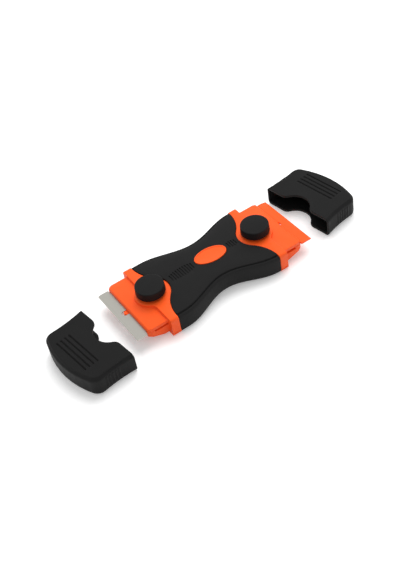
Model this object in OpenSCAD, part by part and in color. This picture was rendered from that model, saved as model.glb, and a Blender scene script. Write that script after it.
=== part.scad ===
// Double-ended hob scraper: a steel blade at the -X end, a plastic blade at the +X end, each held
// under an orange clamp plate by a round knob, a soft grip between them, and two end caps that
// have been pulled off and lie beside the tool. The tool lies on the plane z = 0, +Z up.
// Each end is drawn in its own outward direction: u runs from the middle of the tool to the tip.

/* [Tool body] */
// Width over the two collars
collar_w = 47.4; // [46.8:0.2:50]
// Thickness of the tool at its collars
body_t = 11.6; // [11.2:0.2:13]
// Distance from the middle of the tool to the front face of a collar
collar_u = 36.4; // [35.6:0.2:38]
// Distance from the middle of the tool to a knob's axis
knob_u = 33.2; // [32.4:0.2:34]
// Rounding of the collar's upper side edges
collar_round_top = 1.6; // [0.8:0.2:2.4]
// Rounding of the collar's lower side edges
collar_round_low = 1.8; // [0.8:0.2:2]
// Height of the raised boss above the jaw, which a cap's wall fills
step_h = 1.6; // [1.5:0.1:2.2]
// How far the boss bulges out of the collar, round the knob
boss_bulge = 5.9; // [4:0.1:7]
// Radius of the bulge
boss_r = 9.1; // [8.5:0.1:10]
// Half width at which the bulge has faded into the collar's straight edge
boss_half_w = 11.2; // [11:0.2:13]

/* [Jaws] */
// Length of the jaws in front of the collar
jaw_len = 11.7; // [10:0.1:13]
// Width of the jaws
jaw_w = 40.6; // [40:0.2:40.6]
// Length of the cut corners of the jaws
jaw_cut_u = 2.2; // [1:0.2:5]
// Width of the cut corners of the jaws
jaw_cut_w = 1.1; // [0.5:0.1:2.5]
// Thickness of the upper jaw plate
plate_t = 2; // [1.6:0.1:2.4]
// Bevel along the upper jaw's front edge
lip_bevel = 0.8; // [0.4:0.1:1.2]
// Depth of the lower jaw's front lip under the blade
low_lip_t = 2.3; // [1.6:0.1:3]
// Length of the side rails that close the slot between the jaws
rail_len = 3.9; // [2:0.1:5]
// Extra depth of the open slot along the sides of the lower jaw
side_slot_h = 0.5; // [0.2:0.1:1]

/* [Seam with the grip] */
// How far the S-shaped seam runs back behind the collar, at the middle
seam_run = 8.8; // [7:0.2:9]
// Radius of the seam at the middle
seam_r = 11; // [10:0.5:13]
// Half width at which the seam meets its straight side stretch
seam_half_w = 22; // [20:0.5:22.5]
// Length of the collar's sides, from the seam to the collar's front
collar_len = 4.9; // [4:0.1:7]
// Gap between a clamp plate and the grip
seam_gap = 0.2; // [0.1:0.05:0.4]

/* [Grip] */
// Width of the grip at its waist
waist_w = 33; // [30:0.5:38]
// Distance of the waist from the middle of the tool
waist_x = 2; // [-3:0.5:4]
// Distance over which the grip swells from its waist to its full width
waist_run = 29; // [26:0.5:30]
// Height of the grip above the collars, at its ends
grip_proud = 0.2; // [0.1:0.1:0.6]
// Further rise of the grip's back at the middle
grip_rise = 0.8; // [0:0.1:1.5]
// Crown of the grip's back from side to side
grip_crown = 0.5; // [0.2:0.1:1]
// Width of one cross groove
rib_w = 0.7; // [0.4:0.1:0.9]
// Spacing of the cross grooves
rib_pitch = 1.45; // [1.2:0.05:2]
// Depth of the cross grooves
rib_depth = 0.5; // [0.3:0.1:0.8]
// Number of cross grooves between the steel end and the badge
ribs_steel = 10; // [4:1:10]
// Number of cross grooves between the badge and the plastic end
ribs_plastic = 4; // [2:1:4]
// Rounding of the grip's sole at its sides, at the two ends
sole_round_end = 2.2; // [1:0.1:3]
// Rounding of the grip's sole at its sides, at the waist
sole_round_waist = 5.2; // [2:0.1:6]
// Thickness of the soft layer over the core's spine, at the sides
grip_skin = 5; // [3:0.5:7]

/* [Badge] */
// Length of the badge
badge_l = 18.4; // [14:0.2:19]
// Width of the badge
badge_w = 10.8; // [8:0.2:12]
// Distance of the badge from the middle of the tool
badge_x = 4.6; // [3:0.2:6]
// Distance of the badge from the tool's centre line
badge_y = 0.8; // [-1:0.2:1]
// Turn of the badge, in degrees
badge_turn = -5; // [-8:1:8]
// Thickness of the badge
badge_t = 1.1; // [0.8:0.1:1.6]
// Width of the badge's rim
badge_rim = 0.7; // [0.4:0.1:1]

/* [Knobs and bolts] */
// Diameter of a knob
knob_d = 15.8; // [15:0.2:17]
// Height of a knob
knob_h = 5; // [4.6:0.2:7]
// Thread diameter of the bolts
bolt_d = 4; // [3.6:0.1:4.4]
// Width across the flats of a bolt's head
bolt_head_af = 7; // [6.4:0.1:7.6]
// Height of a bolt's head
bolt_head_h = 2.8; // [2:0.1:3.2]
// Outside diameter of a washer
washer_d = 10; // [9:0.5:12]
// Thickness of a washer
washer_t = 0.8; // [0.6:0.1:1.2]
// Outside diameter of the threaded insert in a knob
insert_d = 6.4; // [6:0.2:7]
// Length of the threaded insert
insert_h = 3.2; // [2.6:0.1:3.4]
// Running clearance round the thread and under the knob
run_gap = 0.05; // [0.03:0.01:0.08]
// Clearance round the bolt in the clamp plate
bolt_gap = 0.3; // [0.2:0.05:0.5]

/* [Blades] */
// Width of the steel blade's cutting edge
steel_w = 40; // [38:0.2:40.2]
// Thickness of the steel blade
steel_t = 0.5; // [0.4:0.05:0.7]
// Reach of the steel blade beyond the jaw
steel_reach = 6.4; // [5:0.1:6.6]
// Width of the steel blade's ground bevel
steel_bevel = 1.3; // [0.8:0.1:2]
// Reach of the steel blade's slot beyond the jaw
steel_slot_reach = 3.3; // [2.8:0.1:4]
// Width of the plastic blade's scraping edge
plastic_w = 40.2; // [38:0.2:40.4]
// Thickness of the plastic blade
plastic_t = 1; // [0.8:0.1:1.2]
// Reach of the plastic blade beyond the jaw
plastic_reach = 6.6; // [5:0.1:6.6]
// Width of the plastic blade's bevel
plastic_bevel = 3; // [2:0.1:4]
// Reach of the plastic blade's slot beyond the jaw
plastic_slot_reach = 1.5; // [1.2:0.1:2]
// Width of the part of a blade that the jaws hold
shank_w = 35; // [32:0.5:36]
// Width of the slot in a blade
slot_w = 3.3; // [3:0.1:4]
// Clearance between a blade and the jaws, rails and nib
blade_gap = 0.05; // [0.03:0.01:0.1]

/* [End caps] */
// Length of a cap
cap_l = 28; // [26:0.5:32]
// Depth of a cap's hollow
cap_depth = 23.6; // [20:0.2:24]
// Thickness of a cap's walls
cap_wall = 1; // [0.8:0.05:1.05]
// How far a cap's mouth stands back from the collar's side, on each side
cap_set_back = 1.1; // [0.8:0.1:1.1]
// Depth of the waist in a cap's sides
cap_waist = 1.1; // [0.8:0.1:1.2]
// Distance of the waist from the cap's mouth
cap_waist_u = 13; // [12:0.5:14]
// Distance at which the side turns into the rounded corner
cap_side_u = 19; // [18:0.5:20]
// Radius of a cap's closed corners
cap_corner_r = 5.5; // [4:0.5:6]
// Clearance between a fitted cap and the tool
cap_gap = 0.15; // [0.1:0.05:0.25]
// Number of grooves across a cap
cap_grooves = 4; // [2:1:4]
// Spacing of the grooves
cap_groove_pitch = 2.5; // [2:0.1:3]
// Length of the grooves
cap_groove_l = 25; // [15:0.5:28]
// Width of the grooves
cap_groove_w = 0.9; // [0.5:0.1:1.2]
// Distance of the first groove from the mouth
cap_groove_u = 14.3; // [12:0.1:15]
// Number of finger ribs on each side of a cap
cap_ribs = 5; // [3:1:6]

/* [Where the caps lie] */
// Steel end: distance of the cap's mouth from the middle of the tool
near_cap_u = 64.6; // [62:0.2:80]
// Steel end: distance of the cap's mouth from the tool's centre line
near_cap_side = -7.5; // [-15:0.1:15]
// Plastic end: distance of the cap's mouth from the middle of the tool
far_cap_u = 63.7; // [62:0.2:80]
// Plastic end: distance of the cap's mouth from the tool's centre line
far_cap_side = 3.2; // [-15:0.1:15]
// Turn of the steel end's cap, in degrees
near_cap_turn = 7; // [-8:0.5:8]
// Turn of the plastic end's cap, in degrees
far_cap_turn = 9; // [-8:0.5:9]

/* [Hidden] */
$fn = 64;

orange = "#fd6b2e";
black = "#2b2b2b";
steel = "#b9b8b2";
brass = "#c9a227";

// How far a cutting shape runs past the faces that it cuts
over = 1;

collar_half = collar_w / 2;
jaw_top_z = body_t - step_h;
split_z = jaw_top_z - plate_t;
jaw_u = collar_u + jaw_len;
seam_u = collar_u - collar_len;
knob_z = body_t + washer_t + run_gap;

// The core's side walls stand inside the clamp plate's skirts
skirt_t = 1.8;
skirt_gap = 0.3;
skirt_z = 2.1;
flange_z = skirt_z - 0.15;
core_half = collar_half - skirt_t - skirt_gap;
// The blades stop against the step in front of the bolt's pad
pad_wall = 0.7;
pad_u = knob_u + bolt_d / 2 + pad_wall;
// The jaws are rooted behind the seam's straight stretch. The lower jaw's underside starts just
// above the cap's lower wall and rises to its front lip.
jaw_root_u = seam_u + 2;
low_jaw_z = step_h + 0.2;
low_jaw_flat_u = collar_u + boss_bulge - 3;

// Points of a bell-shaped edge that leaves a straight line: h is its height, r the radius at its
// top and reach the half width at which it has faded out, both arcs being tangent
function bell_blend_r(h, r, reach) = (pow(h - r, 2) + reach * reach - r * r) / (2 * h);
function bell_half(h, r, reach, n = 8) =
    let (c = h - r, q = bell_blend_r(h, r, reach), turn = atan2(reach, q - c))
    concat([for (i = [0:n]) [c + r * cos(turn * i / n), r * sin(turn * i / n)]],
           [for (i = [1:n]) let (a = 180 + turn * (1 - i / n)) [q + q * cos(a), reach + q * sin(a)]]);
function flipped(points) = [for (i = [len(points) - 1:-1:0]) [points[i][0], -points[i][1]]];
function bell(h, r, reach) =
    let (half = bell_half(h, r, reach))
    concat(flipped(half), [for (i = [1:len(half) - 1]) half[i]]);

// The collar and boss seen from above, between the seam (moved outward by gap) and the S-step
function boss_edge(grow = 0) =
    [for (p = bell(boss_bulge + grow, boss_r + grow, boss_half_w)) [collar_u + p[0], p[1]]];
function seam_edge(gap = 0) =
    [for (p = bell(seam_run, seam_r, seam_half_w)) [seam_u + gap - p[0], p[1]]];
function collar_plan(half_w, gap) =
    concat([[collar_u, -half_w]], boss_edge(), [[collar_u, half_w], [seam_u + gap, half_w]],
           [for (i = [len(seam_edge()) - 1:-1:0]) seam_edge(gap)[i]], [[seam_u + gap, -half_w]]);

// Points of a cross-section with rounded corners, for the collar's outer sides
function corner(cy, cz, r, a0, n = 6) =
    [for (i = [0:n]) [cy + r * cos(a0 + 90 * i / n), cz + r * sin(a0 + 90 * i / n)]];
function collar_section() =
    concat(corner(collar_half - collar_round_low, collar_round_low, collar_round_low, -90),
           corner(collar_half - collar_round_top, body_t - collar_round_top, collar_round_top, 0),
           corner(collar_round_top - collar_half, body_t - collar_round_top, collar_round_top, 90),
           corner(collar_round_low - collar_half, collar_round_low, collar_round_low, 180));

// A solid that runs along the tool and has the given section across it
module along_u(section, from_u, to_u) {
    translate([from_u, 0, 0])
        rotate([90, 0, 90])
            linear_extrude(to_u - from_u)
                polygon(section);
}

module slab(points, z0, z1) {
    translate([0, 0, z0])
        linear_extrude(z1 - z0)
            polygon(points);
}

module block(u0, u1, half_w, z0, z1) {
    translate([u0, -half_w, z0])
        cube([u1 - u0, 2 * half_w, z1 - z0]);
}

function jaw_plan(back_u) =
    [[back_u, -jaw_w / 2], [jaw_u - jaw_cut_u, -jaw_w / 2], [jaw_u, jaw_cut_w - jaw_w / 2],
     [jaw_u, jaw_w / 2 - jaw_cut_w], [jaw_u - jaw_cut_u, jaw_w / 2], [back_u, jaw_w / 2]];

// Half width of the grip at a distance x along the tool: a waist between two full ends
function grip_half(x) =
    let (t = min(1, abs(x - waist_x) / waist_run))
    collar_half - (collar_half - waist_w / 2) * (0.5 + 0.5 * cos(180 * t));
function grip_top(x) =
    let (t = min(1, abs(x) / seam_u))
    body_t + grip_proud + grip_rise * (0.5 + 0.5 * cos(180 * t));

// The sole's rounding grows from the ends of the grip to its waist
function sole_round(x) =
    let (t = min(1, abs(x - waist_x) / waist_run))
    sole_round_end + (sole_round_waist - sole_round_end) * (0.5 + 0.5 * cos(180 * t));

// Half of the grip's cross-section, from the middle of its sole round to the crown of its back:
// a rounded sole, upright sides, a rounded shoulder, the narrow groove that outlines the back,
// and the crowned back
function grip_lower_section(w, low) =
    [for (a = [0:18:90]) [w - low * (1 - sin(a)), low * (1 - cos(a))]];
function grip_upper_section(w, top) =
    [[w, top - 2.4], [w - 0.25, top - 1.5],
     [w - 0.9, top - 0.85], [w - 1.5, top - 0.7], [w - 1.7, top - 1.1], [w - 2.2, top - 1.1],
     [w - 2.4, top - 0.15], [w - 2.9, top], [w * 0.62, top + grip_crown * 0.6],
     [w * 0.3, top + grip_crown * 0.92]];
function grip_section(x) =
    let (half = concat(grip_lower_section(grip_half(x), sole_round(x)),
                       grip_upper_section(grip_half(x), grip_top(x))))
    concat([for (p = half) [x, p[0], p[1]]],
           [for (i = [len(half) - 1:-1:0]) [x, -half[i][0], half[i][1]]]);

// Skins a row of equal rings, closed at both ends
module skin(rings) {
    m = len(rings[0]);
    n = len(rings);
    polyhedron(
        points = [for (ring = rings) for (p = ring) p],
        faces = concat(
            [[for (j = [0:m - 1]) j]],
            [for (i = [0:n - 2]) for (j = [0:m - 1])
                [i * m + j, (i + 1) * m + j, (i + 1) * m + (j + 1) % m, i * m + (j + 1) % m]],
            [[for (j = [m - 1:-1:0]) (n - 1) * m + j]]),
        convexity = 6);
}

// The two ends of the tool: the plastic end points to +X, the steel end to -X
module far_end() {
    children();
}
module near_end() {
    mirror([1, 0, 0])
        children();
}

// The bar of the core that the grip is moulded round, its top clear of the clamp plates
spine_z0 = 2.8;
spine_z1 = split_z - 0.4;
spine_steps = 24;
function spine_edge(side) =
    [for (i = [0:spine_steps])
        let (x = seam_u * (2 * i / spine_steps - 1))
        [side * x, side * (grip_half(side * x) - grip_skin)]];
module spine() {
    slab(concat(spine_edge(1), spine_edge(-1)), spine_z0, spine_z1);
}

// One end of the core: the bolt's pad, the flange under the collar, the lower jaw, the two rails
// that guide the blade's shank, and the nib that finds the slot in the blade
nib_gap = 0.2;
nib_w = slot_w - 2 * nib_gap;
nib_reach = 2.2;
rail_gap = 0.15;
side_slot_w = 1.6;
pocket_gap = 0.05;
module core_end(blade_t, nib_out) {
    seat_z = split_z - blade_t - 2 * blade_gap;
    tip_z = seat_z - low_lip_t;
    difference() {
        union() {
            // Pad and flange follow the seam at the back and the S-step at the front
            intersection() {
                slab(collar_plan(collar_half, 0), 0, flange_z);
                along_u(collar_section(), seam_u - seam_run - over, jaw_u);
            }
            intersection() {
                slab(collar_plan(core_half, 0), 0, split_z);
                block(0, pad_u, core_half, 0, split_z);
            }
            // Lower jaw, with its rising underside
            intersection() {
                slab(jaw_plan(jaw_root_u), 0, split_z);
                translate([0, core_half, 0])
                    rotate([90, 0, 0])
                        linear_extrude(2 * core_half)
                            polygon([[jaw_root_u, low_jaw_z], [low_jaw_flat_u, low_jaw_z],
                                     [jaw_u, tip_z], [jaw_u, seat_z], [jaw_root_u, seat_z]]);
            }
            // Rails
            intersection() {
                slab(jaw_plan(jaw_root_u), seat_z - over, split_z - 2 * blade_gap);
                difference() {
                    block(jaw_u - rail_len, jaw_u, jaw_w / 2, seat_z - over, split_z);
                    block(0, jaw_u + over, shank_w / 2 + rail_gap, seat_z, split_z + over);
                }
            }
            // Nib
            block(jaw_u - rail_len, jaw_u + nib_out - nib_w / 2, nib_w / 2,
                  seat_z - over, split_z - blade_gap);
            translate([jaw_u + nib_out - nib_w / 2, 0, seat_z - over])
                cylinder(d = nib_w, h = blade_t + blade_gap + over);
        }
        // Open slot along each side, between the jaws
        for (side = [-1, 1])
            translate([collar_u, side * (jaw_w / 2) - side_slot_w, seat_z - side_slot_h])
                cube([jaw_len - rail_len, 2 * side_slot_w, side_slot_h + over]);
    }
}

// Hexagonal pocket for a bolt's head, and the hole for its shank
module bolt_seat() {
    translate([knob_u, 0, -over])
        cylinder(d = (bolt_head_af + 2 * pocket_gap) / cos(30), h = bolt_head_h + bolt_sink + over,
                 $fn = 6);
    translate([knob_u, 0, 0])
        cylinder(d = bolt_d + 2 * run_gap, h = body_t);
}

module core() {
    color(orange)
        difference() {
            union() {
                spine();
                far_end() core_end(plastic_t, 0);
                near_end() core_end(steel_t, nib_reach);
            }
            far_end() bolt_seat();
            near_end() bolt_seat();
        }
}

// One clamp plate: the upper jaw, the raised boss round the knob, and the collar with a skirt
// down each side
module clamp() {
    difference() {
        union() {
            intersection() {
                slab(collar_plan(collar_half, seam_gap), split_z, body_t);
                along_u(collar_section(), seam_u - seam_run - over, jaw_u);
            }
            intersection() {
                difference() {
                    block(seam_u + seam_gap, collar_u, collar_half, skirt_z, split_z + over);
                    block(0, jaw_u, collar_half - skirt_t, 0, split_z + 2 * over);
                }
                along_u(collar_section(), seam_u, collar_u);
            }
            slab(jaw_plan(jaw_root_u), split_z, jaw_top_z);
        }
        translate([knob_u, 0, 0])
            cylinder(d = bolt_d + 2 * bolt_gap, h = body_t + over);
        // Bevelled front lip
        translate([jaw_u, 0, jaw_top_z])
            rotate([0, 45, 0])
                cube([lip_bevel * sqrt(2), jaw_w, lip_bevel * sqrt(2)], center = true);
    }
}
module near_clamp() {
    color(orange) near_end() clamp();
}
module far_clamp() {
    color(orange) far_end() clamp();
}

// The grip: a skinned row of sections, cut by the seams, hollow for the spine, with the badge's
// recess and the cross grooves
grip_steps = 36;
grip_cut = 5;
// The grooves between the seam and the badge grow and shrink to a lens shape
rib_taper = 0.6;
rib_reach_steel = 6.6;
rib_reach_plastic = 5;
module rib_group(middle_x, count, longest) {
    for (i = [0:count - 1]) {
        place = i - (count - 1) / 2;
        reach = longest * sqrt(1 - pow(place / (count * rib_taper), 2));
        x = middle_x + place * rib_pitch;
        translate([x - rib_w / 2, -reach / 2, grip_top(x) + grip_crown - rib_depth])
            cube([rib_w, reach, grip_cut]);
    }
}
module grip() {
    end_x = collar_u;
    seam_back = seam_u - seam_run;
    badge_end = badge_l / 2;
    color(black)
        difference() {
            skin([for (i = [0:grip_steps]) grip_section(end_x * (2 * i / grip_steps - 1))]);
            for (side = [0, 1])
                mirror([side, 0, 0])
                    slab(concat(seam_edge(), [[end_x + over, seam_half_w], [end_x + over, -seam_half_w]]),
                         -over, body_t + grip_cut);
            for (side = [-1, 1])
                translate([side > 0 ? seam_u : -end_x - over, -collar_half - over, -over])
                    cube([end_x + over - seam_u, collar_w + 2 * over, body_t + over + grip_cut]);
            spine();
            translate([badge_x, badge_y, badge_z0])
                rotate(badge_turn)
                    oval(badge_l + 2 * badge_gap, badge_w + 2 * badge_gap, grip_cut);
            translate([0, badge_y, 0]) {
                rib_group((badge_x - badge_end - seam_back) / 2, ribs_steel, rib_reach_steel);
                rib_group((badge_x + badge_end + seam_back) / 2, ribs_plastic, rib_reach_plastic);
            }
        }
}

// The badge: an oval plate with a raised rim, its face bare
badge_gap = 0.15;
badge_sink = 0.75;
badge_z0 = grip_top(badge_x) + grip_crown - badge_sink;
badge_dish = 0.25;
module oval(l, w, h) {
    linear_extrude(h)
        scale([l / w, 1])
            circle(d = w, $fn = 96);
}
module badge() {
    color(orange)
        translate([badge_x, badge_y, badge_z0])
            rotate(badge_turn)
                difference() {
                    oval(badge_l, badge_w, badge_t);
                    translate([0, 0, badge_t - badge_dish])
                        oval(badge_l - 2 * badge_rim, badge_w - 2 * badge_rim, over);
                }
}

// Bolts, held by their heads in the core
bolt_sink = 0.3;
knob_roof = 1.2;
bolt_top_z = knob_z + knob_h - knob_roof;
module stud() {
    color(steel)
        translate([knob_u, 0, 0]) {
            translate([0, 0, bolt_sink])
                cylinder(d = bolt_head_af / cos(30), h = bolt_head_h, $fn = 6);
            translate([0, 0, bolt_sink])
                cylinder(d = bolt_d, h = bolt_top_z - bolt_sink);
        }
}
module near_stud() {
    near_end() stud();
}
module far_stud() {
    far_end() stud();
}

module washer() {
    color(steel)
        translate([knob_u, 0, body_t])
            difference() {
                cylinder(d = washer_d, h = washer_t);
                translate([0, 0, -over])
                    cylinder(d = bolt_d + 2 * bolt_gap, h = washer_t + 2 * over);
            }
}
module near_washer() {
    near_end() washer();
}
module far_washer() {
    far_end() washer();
}

// Threaded inserts, moulded in the knobs
module insert() {
    color(brass)
        translate([knob_u, 0, knob_z])
            difference() {
                cylinder(d = insert_d, h = insert_h);
                translate([0, 0, -over])
                    cylinder(d = bolt_d + 2 * run_gap, h = insert_h + 2 * over);
            }
}
module near_insert() {
    near_end() insert();
}
module far_insert() {
    far_end() insert();
}

// Knobs: a turned shape with a hub on the washer, a slight taper and a softened top edge
knob_lift = 0.4;
knob_round = 0.45;
knob_taper = 0.2;
module knob() {
    r = knob_d / 2;
    bore_r = bolt_d / 2 + bolt_gap;
    bore_h = knob_h - knob_roof + run_gap;
    color(black)
        translate([knob_u, 0, knob_z])
            rotate_extrude()
                polygon(concat(
                    [[insert_d / 2, 0], [washer_d / 2, 0], [washer_d / 2 + knob_lift, knob_lift],
                     [r - 2 * knob_taper, knob_lift], [r, knob_lift + knob_taper]],
                    [for (i = [0:6])
                        [r - knob_taper - knob_round + knob_round * cos(15 * i),
                         knob_h - knob_round + knob_round * sin(15 * i)]],
                    [[0, knob_h], [0, bore_h], [bore_r, bore_h], [bore_r, insert_h],
                     [insert_d / 2, insert_h]]));
}
module near_knob() {
    near_end() knob();
}
module far_knob() {
    far_end() knob();
}

// A blade seen from above: a wide head beyond the jaws, a narrower shank between the rails, and a
// slot that is open at the back
head_round = 0.9;
head_gap = 0.2;
module blade_plan(head_w, reach, slot_reach) {
    tip_u = jaw_u + reach;
    head_u = jaw_u + head_gap;
    difference() {
        union() {
            translate([head_u + head_round, -head_w / 2])
                square([tip_u - head_u - head_round, head_w]);
            translate([head_u, head_round - head_w / 2])
                square([head_round + over, head_w - 2 * head_round]);
            for (side = [-1, 1])
                translate([head_u + head_round, side * (head_w / 2 - head_round)])
                    circle(r = head_round, $fn = 32);
            translate([pad_u + blade_gap, -shank_w / 2])
                square([head_u + over - pad_u, shank_w]);
        }
        translate([0, -slot_w / 2])
            square([jaw_u + slot_reach - slot_w / 2, slot_w]);
        translate([jaw_u + slot_reach - slot_w / 2, 0])
            circle(d = slot_w, $fn = 48);
    }
}
// The bevel is ground off the upper face, down to a thin edge
steel_edge_t = 0.05;
plastic_edge_t = 0.3;
module blade(head_w, reach, slot_reach, t, bevel, edge_t) {
    tip_u = jaw_u + reach;
    z0 = split_z - blade_gap - t;
    difference() {
        translate([0, 0, z0])
            linear_extrude(t)
                blade_plan(head_w, reach, slot_reach);
        translate([0, head_w, 0])
            rotate([90, 0, 0])
                linear_extrude(2 * head_w)
                    polygon([[tip_u - bevel, z0 + t], [tip_u - bevel, z0 + t + over],
                             [tip_u + over, z0 + t + over], [tip_u + over, z0 + edge_t],
                             [tip_u, z0 + edge_t]]);
    }
}
module steel_blade() {
    color(steel)
        near_end() blade(steel_w, steel_reach, steel_slot_reach, steel_t, steel_bevel, steel_edge_t);
}
module plastic_blade() {
    color(orange)
        far_end() blade(plastic_w, plastic_reach, plastic_slot_reach, plastic_t, plastic_bevel,
                        plastic_edge_t);
}

// A cap seen from above, its mouth at u = 0, drawn inward by inset: concave sides, round corners
// and a bowed end, every arc tangent to the next
cap_half = collar_half - cap_set_back;
side_r = (cap_waist_u * cap_waist_u + cap_waist * cap_waist) / (2 * cap_waist);
side_v = cap_half - cap_waist + side_r;
function cap_outline(inset, n = 8) =
    let (start = asin(cap_waist_u / side_r),
         finish = asin((cap_side_u - cap_waist_u) / side_r),
         corner_u = cap_side_u + cap_corner_r * sin(finish),
         corner_v = side_v - side_r * cos(finish) - cap_corner_r * cos(finish),
         run = cap_l - corner_u,
         end_r = (run * run + corner_v * corner_v - cap_corner_r * cap_corner_r)
                 / (2 * (run - cap_corner_r)),
         end_turn = atan2(corner_v, corner_u - cap_l + end_r),
         half = concat(
             [for (i = [0:n]) let (a = -start + (start + finish) * i / n)
                 [cap_waist_u + (side_r + inset) * sin(a), side_v - (side_r + inset) * cos(a)]],
             [for (i = [1:n]) let (a = 90 + finish + (end_turn - 90 - finish) * i / n)
                 [corner_u + (cap_corner_r - inset) * cos(a), corner_v + (cap_corner_r - inset) * sin(a)]],
             [for (i = [1:n / 2]) let (a = end_turn * (1 - 2 * i / n))
                 [cap_l - end_r + (end_r - inset) * cos(a), (end_r - inset) * sin(a)]]),
         closed = [for (i = [0:len(half) - 1]) i == 0 ? [0, half[0][1]] : half[i]])
    concat([for (i = [0:len(closed) - 1]) [closed[i][0], -closed[i][1]]],
           [for (i = [len(closed) - 2:-1:0]) closed[i]]);

// Heights and insets of the cap's rounded sole, sides, shoulder and raised top
cap_levels = [[0, 1.7], [0.35, 0.8], [1.1, 0.2], [2.2, 0], [body_t - 1.9, 0], [body_t - 1.2, 0.2],
              [body_t - 0.75, 0.75], [body_t - 0.7, 1.1], [body_t - 0.2, 1.2], [body_t, 1.5]];
function side_v_at(u) = side_v - sqrt(side_r * side_r - pow(u - cap_waist_u, 2));
cap_rib_pitch = 1.9;
cap_rib_d = 1.1;
cap_rib_sink = 0.2;
cap_rib_z0 = 2.6;
cap_groove_depth = 0.6;
module cap() {
    hollow_z0 = low_jaw_z - 2 * cap_gap;
    hollow_z1 = jaw_top_z + cap_gap;
    difference() {
        union() {
            skin([for (level = cap_levels)
                [for (p = cap_outline(level[1])) [p[0], p[1], level[0]]]]);
            // Finger ribs on the concave sides
            for (side = [-1, 1], i = [0:cap_ribs - 1]) {
                u = cap_waist_u + (i - (cap_ribs - 1) / 2) * cap_rib_pitch;
                translate([u, side * (side_v_at(u) - cap_rib_sink), cap_rib_z0])
                    cylinder(d = cap_rib_d, h = body_t - 2 * cap_rib_z0, $fn = 24);
            }
        }
        // Hollow that takes the jaws and the blade
        intersection() {
            slab(cap_outline(cap_wall), hollow_z0, hollow_z1);
            block(over, cap_depth, collar_half, 0, body_t);
        }
        block(-over, 2 * over, cap_half - cap_wall - cap_gap, hollow_z0, hollow_z1);
        // Notch in both walls that clears the boss
        slab(concat([for (p = bell(boss_bulge + 2 * cap_gap, boss_r + cap_gap, boss_half_w + cap_gap)) p],
                    [[-over, boss_half_w + cap_gap], [-over, -boss_half_w - cap_gap]]), -over, body_t + over);
        // Grooves across the top
        for (i = [0:cap_grooves - 1])
            translate([cap_groove_u + i * cap_groove_pitch - cap_groove_w / 2, -cap_groove_l / 2,
                       body_t - cap_groove_depth])
                cube([cap_groove_w, cap_groove_l, cap_groove_depth + over]);
    }
}
module near_cap() {
    color(black)
        translate([-near_cap_u, near_cap_side, 0])
            rotate(180 + near_cap_turn)
                cap();
}
module far_cap() {
    color(black)
        translate([far_cap_u, far_cap_side, 0])
            rotate(far_cap_turn)
                cap();
}

core();
grip();
badge();
near_clamp();
far_clamp();
near_stud();
far_stud();
near_washer();
far_washer();
near_insert();
far_insert();
near_knob();
far_knob();
steel_blade();
plastic_blade();
near_cap();
far_cap();
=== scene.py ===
import math

import bpy
from mathutils import Matrix, Quaternion, Vector


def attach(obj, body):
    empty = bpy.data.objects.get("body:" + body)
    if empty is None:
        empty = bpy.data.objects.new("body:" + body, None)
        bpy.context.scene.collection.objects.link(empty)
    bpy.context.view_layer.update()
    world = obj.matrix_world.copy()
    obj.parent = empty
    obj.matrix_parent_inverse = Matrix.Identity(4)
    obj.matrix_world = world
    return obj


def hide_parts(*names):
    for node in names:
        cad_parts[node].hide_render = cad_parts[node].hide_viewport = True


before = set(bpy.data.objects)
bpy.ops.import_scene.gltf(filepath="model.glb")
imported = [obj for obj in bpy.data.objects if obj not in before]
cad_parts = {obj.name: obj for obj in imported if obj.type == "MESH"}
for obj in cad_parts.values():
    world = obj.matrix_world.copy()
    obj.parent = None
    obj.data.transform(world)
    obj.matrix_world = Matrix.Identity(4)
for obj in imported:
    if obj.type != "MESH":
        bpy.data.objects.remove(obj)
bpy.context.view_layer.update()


# The core is the orange moulding that runs through the whole tool: a pad and a lower jaw at each
# end, joined by the bar under the grip. It is injection moulded in polypropylene, so every edge has
# the small radius that the mould's cutter leaves.
MM = 0.001


def moulded_copy(node, edge_mm, crease_deg=28, segments=3, voxel_mm=0, turn_deg=0):
    """A copy of a CAD node, its triangles merged and its edges rounded, that stands for the node.

    With voxel_mm it is meshed anew from its volume and relaxed, for a moulding whose fine ribs and
    grooves lie too close together for a bevel. turn_deg is how far the node lies turned from X: it
    is straightened meanwhile, so that its straight edges run along the new mesh.
    """
    piece = bpy.data.objects.new(node + "_piece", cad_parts[node].data.copy())
    bpy.context.scene.collection.objects.link(piece)
    piece.data.materials.clear()
    bpy.ops.object.select_all(action="DESELECT")
    bpy.context.view_layer.objects.active = piece
    piece.select_set(True)
    bpy.ops.mesh.customdata_custom_splitnormals_clear()
    bpy.ops.object.mode_set(mode="EDIT")
    bpy.ops.mesh.select_all(action="SELECT")
    bpy.ops.mesh.remove_doubles(threshold=0.002 * MM)
    bpy.ops.mesh.tris_convert_to_quads(face_threshold=math.radians(0.5), shape_threshold=math.pi)
    bpy.ops.object.mode_set(mode="OBJECT")
    if voxel_mm:
        straighten = Matrix.Rotation(math.radians(-turn_deg), 4, "Z")
        piece.data.transform(straighten)
        remesh = piece.modifiers.new("even mesh", "REMESH")
        remesh.mode = "VOXEL"
        remesh.voxel_size = voxel_mm * MM
        relax = piece.modifiers.new("edge radius", "SMOOTH")
        relax.factor = 0.5
        relax.iterations = 2
        thin = piece.modifiers.new("fewer flat faces", "DECIMATE")
        thin.ratio = 0.45
        for modifier in (remesh, relax, thin):
            bpy.ops.object.modifier_apply(modifier=modifier.name)
        piece.data.transform(straighten.inverted())
    else:
        bevel = piece.modifiers.new("edge radius", "BEVEL")
        bevel.width = edge_mm * MM
        bevel.segments = segments
        bevel.limit_method = "ANGLE"
        bevel.angle_limit = math.radians(crease_deg)
        bevel.use_clamp_overlap = False
        bevel.loop_slide = False
        bpy.ops.object.modifier_apply(modifier=bevel.name)
    bpy.ops.object.shade_smooth_by_angle(angle=math.radians(crease_deg))
    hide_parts(node)
    return piece


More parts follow.
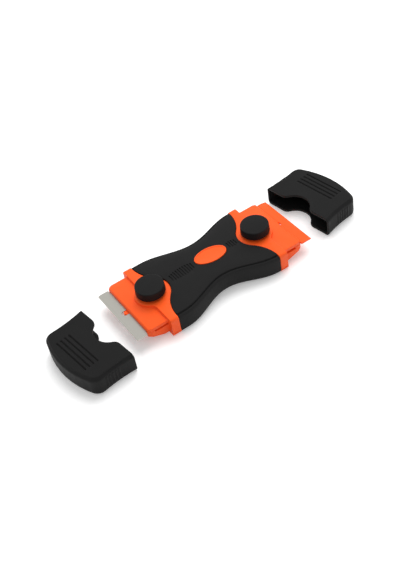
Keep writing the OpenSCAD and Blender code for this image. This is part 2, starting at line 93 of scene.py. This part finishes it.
def linear(hex_colour):
    """An sRGB hex colour as the linear RGBA that a shader takes."""
    values = [int(hex_colour[i:i + 2], 16) / 255 for i in (1, 3, 5)]
    return [v / 12.92 if v <= 0.04045 else ((v + 0.055) / 1.055) ** 2.4 for v in values] + [1.0]


def add_node(owner, kind, inputs, **settings):
    """Adds a node to a material or world. An input is a value, or another node's output socket."""
    made = owner.node_tree.nodes.new(kind)
    for name, value in settings.items():
        setattr(made, name, value)
    for name, value in inputs.items():
        if isinstance(value, bpy.types.NodeSocket):
            owner.node_tree.links.new(value, made.inputs[name])
        else:
            made.inputs[name].default_value = value
    return made


def new_material(name):
    """An empty material with its shader and its output."""
    material = bpy.data.materials.new(name)
    material.use_nodes = True
    material.node_tree.nodes.clear()
    shader = add_node(material, "ShaderNodeBsdfPrincipled", {})
    add_node(material, "ShaderNodeOutputMaterial", {"Surface": shader.outputs["BSDF"]})
    place = add_node(material, "ShaderNodeTexCoord", {}).outputs["Object"]
    return material, shader, place


def per_mm(size_mm):
    """The scale of a texture whose features are this size, on coordinates in metres."""
    return 1 / (size_mm * MM)


def moulded_plastic(name, colour, worn_colour, roughness, grain_mm, grain_depth_mm):
    """Injection-moulded plastic: a fine spark-eroded grain, faint flow clouds, paler where rubbed."""
    material, shader, place = new_material(name)
    grain = add_node(material, "ShaderNodeTexNoise",
                     {"Vector": place, "Scale": per_mm(grain_mm), "Detail": 3.0, "Roughness": 0.6})
    flow = add_node(material, "ShaderNodeTexNoise",
                    {"Vector": place, "Scale": per_mm(14), "Detail": 4.0, "Roughness": 0.55})
    clouds = add_node(material, "ShaderNodeMapRange",
                      {"Value": flow.outputs["Fac"], "From Min": 0.35, "From Max": 0.65,
                       "To Min": 0.0, "To Max": 0.35})
    tint = add_node(material, "ShaderNodeMix", {"Factor": clouds.outputs["Result"]}, data_type="RGBA")
    tint.inputs[6].default_value = linear(colour)
    tint.inputs[7].default_value = linear(worn_colour)
    gloss = add_node(material, "ShaderNodeMapRange",
                     {"Value": grain.outputs["Fac"], "From Min": 0.3, "From Max": 0.7,
                      "To Min": roughness - 0.05, "To Max": roughness + 0.07})
    relief = add_node(material, "ShaderNodeBump",
                      {"Height": grain.outputs["Fac"], "Strength": 0.6, "Distance": grain_depth_mm * MM})
    material.node_tree.links.new(tint.outputs[2], shader.inputs["Base Color"])
    material.node_tree.links.new(gloss.outputs["Result"], shader.inputs["Roughness"])
    material.node_tree.links.new(relief.outputs["Normal"], shader.inputs["Normal"])
    return material, shader


# Satin orange polypropylene: the light spreads over it, and edges glow a little brighter
orange_polypropylene, orange_shader = moulded_plastic(
    "orange_polypropylene", "#f9581a", "#fb6022", roughness=0.46, grain_mm=0.16, grain_depth_mm=0.006)
orange_shader.inputs["IOR"].default_value = 1.49
orange_shader.inputs["Specular IOR Level"].default_value = 0.3

core = moulded_copy("core", edge_mm=0.14)
core.data.materials.append(orange_polypropylene)
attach(core, "handle")


# The grip is a soft thermoplastic elastomer, moulded over the core's bar. It is matt, with a fine
# grain from the mould, and its back carries two groups of cross grooves and an oval recess.
soft_elastomer, elastomer_shader = moulded_plastic(
    "soft_elastomer", "#181818", "#1d1d1d", roughness=0.66, grain_mm=0.22, grain_depth_mm=0.012)
elastomer_shader.inputs["IOR"].default_value = 1.48
elastomer_shader.inputs["Specular IOR Level"].default_value = 0.18

grip = moulded_copy("grip", edge_mm=0.1)
grip.data.materials.append(soft_elastomer)
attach(grip, "handle")


# The badge is an oval plate of the same orange plastic, with a raised rim, pressed in the grip's
# recess. Its face is bare.
badge = moulded_copy("badge", edge_mm=0.12)
badge.data.materials.append(orange_polypropylene)
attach(badge, "handle")


# The two clamp plates are moulded like the core: the upper jaw, the raised boss round the knob and
# the collar, with a skirt down each side of the core.
for end in ("near", "far"):
    clamp = moulded_copy(end + "_clamp", edge_mm=0.24)
    clamp.data.materials.append(orange_polypropylene)
    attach(clamp, end + "_clamp")


# Bolts and washers are zinc-plated steel. The plating is bright, with a faint crystalline mottle.
zinc_plate, zinc_shader, zinc_place = new_material("zinc_plated_steel")
zinc_shader.inputs["Metallic"].default_value = 1.0
zinc_shader.inputs["Base Color"].default_value = linear("#c4c5c3")
mottle = add_node(zinc_plate, "ShaderNodeTexVoronoi", {"Vector": zinc_place, "Scale": per_mm(0.5)})
mottle_gloss = add_node(zinc_plate, "ShaderNodeMapRange",
                        {"Value": mottle.outputs["Distance"], "From Max": 0.7,
                         "To Min": 0.26, "To Max": 0.4})
zinc_plate.node_tree.links.new(mottle_gloss.outputs["Result"], zinc_shader.inputs["Roughness"])
for end in ("near", "far"):
    for body, part, slot in (("handle", "stud", "bolt_steel"), (end + "_clamp", "washer", "washer_steel")):
        fastener = moulded_copy(end + "_" + part, edge_mm=0.08, segments=2)
        fastener.data.materials.append(zinc_plate)
        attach(fastener, body)


# The inserts in the knobs are turned brass, with the tool's fine rings round the axis.
turned_brass, brass_shader, brass_place = new_material("turned_brass")
brass_shader.inputs["Metallic"].default_value = 1.0
brass_shader.inputs["Base Color"].default_value = linear("#d9b15a")
rings = add_node(turned_brass, "ShaderNodeTexWave", {"Vector": brass_place, "Scale": per_mm(2)},
                 wave_type="BANDS", bands_direction="Z")
ring_gloss = add_node(turned_brass, "ShaderNodeMapRange",
                      {"Value": rings.outputs["Fac"], "To Min": 0.24, "To Max": 0.36})
turned_brass.node_tree.links.new(ring_gloss.outputs["Result"], brass_shader.inputs["Roughness"])
for end in ("near", "far"):
    insert = moulded_copy(end + "_insert", edge_mm=0.08, segments=2)
    insert.data.materials.append(turned_brass)
    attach(insert, end + "_knob")


# The knobs are moulded in black ABS, turned by the fingers: a plain disc with a softened rim.
black_abs, abs_shader = moulded_plastic(
    "black_abs", "#151515", "#1a1a1a", roughness=0.52, grain_mm=0.14, grain_depth_mm=0.006)
abs_shader.inputs["IOR"].default_value = 1.53
abs_shader.inputs["Specular IOR Level"].default_value = 0.12
for end in ("near", "far"):
    knob = moulded_copy(end + "_knob", edge_mm=0.15)
    knob.data.materials.append(black_abs)
    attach(knob, end + "_knob")


# The steel blade is stamped from rolled carbon-steel strip, brushed across its width, and its
# cutting edge is ground to a narrow bevel.
blade_strip, strip_shader, strip_place = new_material("brushed_carbon_steel")
strip_shader.inputs["Metallic"].default_value = 1.0
BRUSH_MM = 0.12
brush_lines = add_node(blade_strip, "ShaderNodeMapping", {"Vector": strip_place, "Scale": (1.0, 0.02, 1.0)})
brushing = add_node(blade_strip, "ShaderNodeTexNoise",
                    {"Vector": brush_lines.outputs["Vector"], "Scale": per_mm(BRUSH_MM), "Detail": 4.0})
brush_gloss = add_node(blade_strip, "ShaderNodeMapRange",
                       {"Value": brushing.outputs["Fac"], "From Min": 0.3, "From Max": 0.7,
                        "To Min": 0.34, "To Max": 0.5})
brush_tint = add_node(blade_strip, "ShaderNodeMix", {"Factor": brushing.outputs["Fac"]}, data_type="RGBA")
brush_tint.inputs[6].default_value = linear("#b0aea7")
brush_tint.inputs[7].default_value = linear("#c2c0b8")
brush_relief = add_node(blade_strip, "ShaderNodeBump",
                        {"Height": brushing.outputs["Fac"], "Strength": 0.4, "Distance": 0.004 * MM})
blade_strip.node_tree.links.new(brush_tint.outputs[2], strip_shader.inputs["Base Color"])
blade_strip.node_tree.links.new(brush_gloss.outputs["Result"], strip_shader.inputs["Roughness"])
blade_strip.node_tree.links.new(brush_relief.outputs["Normal"], strip_shader.inputs["Normal"])
steel_blade = moulded_copy("steel_blade", edge_mm=0.03, segments=1)
steel_blade.data.materials.append(blade_strip)
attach(steel_blade, "steel_blade")


# The plastic blade is moulded in the core's orange plastic, with a long bevel to its edge.
plastic_blade = moulded_copy("plastic_blade", edge_mm=0.08)
plastic_blade.data.materials.append(orange_polypropylene)
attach(plastic_blade, "plastic_blade")


# The end caps are hollow mouldings of black polypropylene, with a spark-eroded grain outside,
# four grooves across the top and ribs for the fingers on the drawn-in sides.
black_polypropylene, cap_shader = moulded_plastic(
    "black_polypropylene", "#141414", "#191919", roughness=0.56, grain_mm=0.2, grain_depth_mm=0.012)
cap_shader.inputs["IOR"].default_value = 1.49
cap_shader.inputs["Specular IOR Level"].default_value = 0.15
for end, turn_deg in (("near", 7), ("far", 9)):
    cap = moulded_copy(end + "_cap", edge_mm=0, voxel_mm=0.24, turn_deg=turn_deg)
    cap.data.materials.append(black_polypropylene)
    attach(cap, end + "_cap")


# The table is plain white, and takes the soft shadows. Its own faint glow, for the camera and for
# reflections only, brings it to white, and grows where the lamp no longer reaches.
bpy.ops.object.select_all(action="DESELECT")
bpy.ops.mesh.primitive_plane_add(size=6.0, location=(0, 0, 0))
table = bpy.context.object
table.name = "table"
white_table, table_shader, table_place = new_material("white_table")
table_shader.inputs["Base Color"].default_value = linear("#f4f4f4")
table_shader.inputs["Roughness"].default_value = 0.9
table_shader.inputs["Specular IOR Level"].default_value = 0.0
NEAR_GLOW = 0.24
FAR_GLOW = 0.5
seen = add_node(white_table, "ShaderNodeLightPath", {})
seen_or_mirrored = add_node(white_table, "ShaderNodeMath",
                            {0: seen.outputs["Is Camera Ray"], 1: seen.outputs["Is Glossy Ray"]},
                            operation="MAXIMUM")
from_tool = add_node(white_table, "ShaderNodeVectorMath", {0: table_place}, operation="LENGTH")
glow_there = add_node(white_table, "ShaderNodeMapRange",
                      {"Value": from_tool.outputs["Value"], "From Min": 0.15, "From Max": 0.7,
                       "To Min": NEAR_GLOW, "To Max": FAR_GLOW})
glow = add_node(white_table, "ShaderNodeMath",
                {0: seen_or_mirrored.outputs[0], 1: glow_there.outputs["Result"]}, operation="MULTIPLY")
table_shader.inputs["Emission Color"].default_value = (1, 1, 1, 1)
white_table.node_tree.links.new(glow.outputs[0], table_shader.inputs["Emission Strength"])
table.data.materials.append(white_table)


# Light: an even room, which the camera and reflections see as pure white, and one large soft lamp
# above and behind the tool, so that its shadows fall towards the camera
ROOM_LIGHT = 0.62
world = bpy.data.worlds.new("studio")
world.use_nodes = True
world.node_tree.nodes.clear()
path = add_node(world, "ShaderNodeLightPath", {})
seen_directly = add_node(world, "ShaderNodeMath",
                         {0: path.outputs["Is Camera Ray"], 1: path.outputs["Is Glossy Ray"]},
                         operation="MAXIMUM")
seen_at_all = add_node(world, "ShaderNodeMath",
                       {0: seen_directly.outputs[0], 1: path.outputs["Is Transmission Ray"]},
                       operation="MAXIMUM")
strength = add_node(world, "ShaderNodeMapRange",
                    {"Value": seen_at_all.outputs[0], "To Min": ROOM_LIGHT, "To Max": 1.0})
room = add_node(world, "ShaderNodeBackground",
                {"Color": (1, 1, 1, 1), "Strength": strength.outputs["Result"]})
add_node(world, "ShaderNodeOutputWorld", {"Surface": room.outputs["Background"]})
bpy.context.scene.world = world

bpy.ops.object.light_add(type="AREA", location=(0.36, 0.36, 0.8))
lamp = bpy.context.object
lamp.name = "soft_box"
lamp.data.shape = "DISK"
lamp.data.size = 0.9
lamp.data.energy = 8.5
lamp.visible_glossy = False
lamp.rotation_mode = "QUATERNION"
lamp.rotation_quaternion = (-lamp.location).to_track_quat("-Z", "Y")


# Camera: the photograph's view, from the steel end's near side, looking down at the tool
VIEW_AZIMUTH = math.radians(26.27)
VIEW_ELEVATION = math.radians(44.81)
VIEW_ROLL = math.radians(-11.24)
VIEW_DISTANCE = 0.4965
VIEW_AIM = Vector((-0.0061, -0.0021, 0.0))
SENSOR_MM = 36.0
PHOTO_LONG_SIDE = 570
FOCAL_PIXELS = 943.6
look = Vector((math.sin(VIEW_AZIMUTH) * math.cos(VIEW_ELEVATION),
               math.cos(VIEW_AZIMUTH) * math.cos(VIEW_ELEVATION),
               -math.sin(VIEW_ELEVATION)))
bpy.ops.object.camera_add(location=VIEW_AIM - VIEW_DISTANCE * look)
camera = bpy.context.object
camera.rotation_mode = "QUATERNION"
camera.rotation_quaternion = look.to_track_quat("-Z", "Y") @ Quaternion((0, 0, 1), VIEW_ROLL)
camera.data.sensor_width = SENSOR_MM
camera.data.lens = FOCAL_PIXELS / PHOTO_LONG_SIDE * SENSOR_MM
bpy.context.scene.camera = camera
bpy.context.scene.view_settings.view_transform = "Standard"
